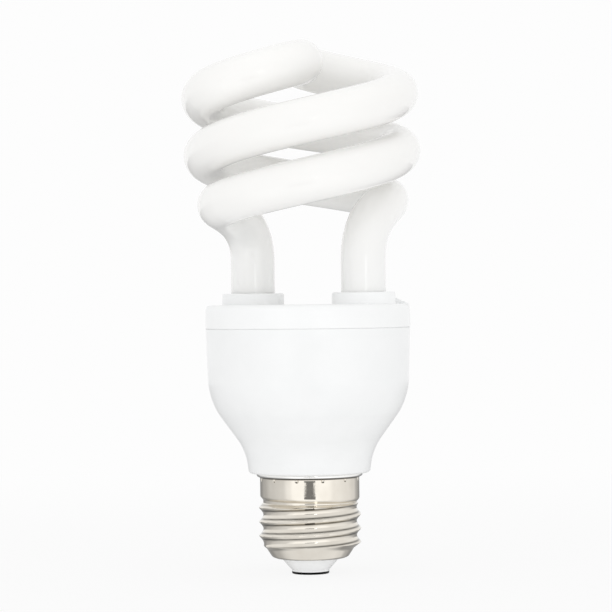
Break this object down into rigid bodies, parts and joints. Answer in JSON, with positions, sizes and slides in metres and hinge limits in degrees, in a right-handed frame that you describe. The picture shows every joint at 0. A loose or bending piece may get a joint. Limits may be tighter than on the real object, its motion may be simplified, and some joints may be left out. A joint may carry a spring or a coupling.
{
  "type": "reptile ultraviolet bulb",
  "caption": "White double-spiral compact fluorescent ultraviolet lamp for reptile enclosures, with a funnel-shaped ballast housing and an Edison screw cap.",
  "frame": {"origin": "centre of the lower face of the contact button, where the lamp meets the foot of its holder", "axes": "+Z along the lamp's axis, from the cap to the crown of the spiral; -Y faces the camera of the picture; +X to its right"},
  "size_m": [0.0614, 0.0615, 0.1373],
  "materials": {
    "coated_glass": "clear glass over a white fluorescent coating",
    "white_plastic": "moulded, semi-gloss white",
    "nickel_plate": "bright nickel plating",
    "insulator": "gloss white",
    "contact_metal": "darkened, dull",
    "cement": "matte",
    "board": "phenolic paper laminate",
    "tinned_wire": "tinned",
    "capacitor_sleeve": "shrunk sleeve",
    "ferrite": "ground, dark grey",
    "bobbin_plastic": "moulded",
    "copper_wire": "enamelled copper",
    "black_resin": "moulded resin",
    "film_capacitor": "dipped resin",
    "trigger_glass": "lacquered glass",
    "resistor_coat": "lacquered ceramic"
  },
  "bodies": {
    "root": {"glass_spiral_tube": "coated_glass", "tube_cover": "white_plastic", "lower_housing": "white_plastic", "screw_shell": "nickel_plate", "base_insulator": "insulator", "centre_contact": "contact_metal", "tube_cement": "cement", "circuit_board": "board", "wire_posts": "tinned_wire", "electrode_leads": "tinned_wire", "electrolytic_capacitor": "capacitor_sleeve", "choke_core": "ferrite", "choke_bobbin": "bobbin_plastic", "choke_winding": "copper_wire", "drive_toroid": "ferrite", "toroid_windings": "copper_wire", "power_transistors": "black_resin", "resonant_capacitor": "film_capacitor", "coupling_capacitors": "film_capacitor", "rectifier_diodes": "black_resin", "trigger_diode": "trigger_glass", "resistors": "resistor_coat", "inductor_core": "ferrite", "inductor_winding": "copper_wire", "fuse_resistor": "resistor_coat", "line_lead": "tinned_wire", "neutral_lead": "tinned_wire"}
  },
  "joints": []
}
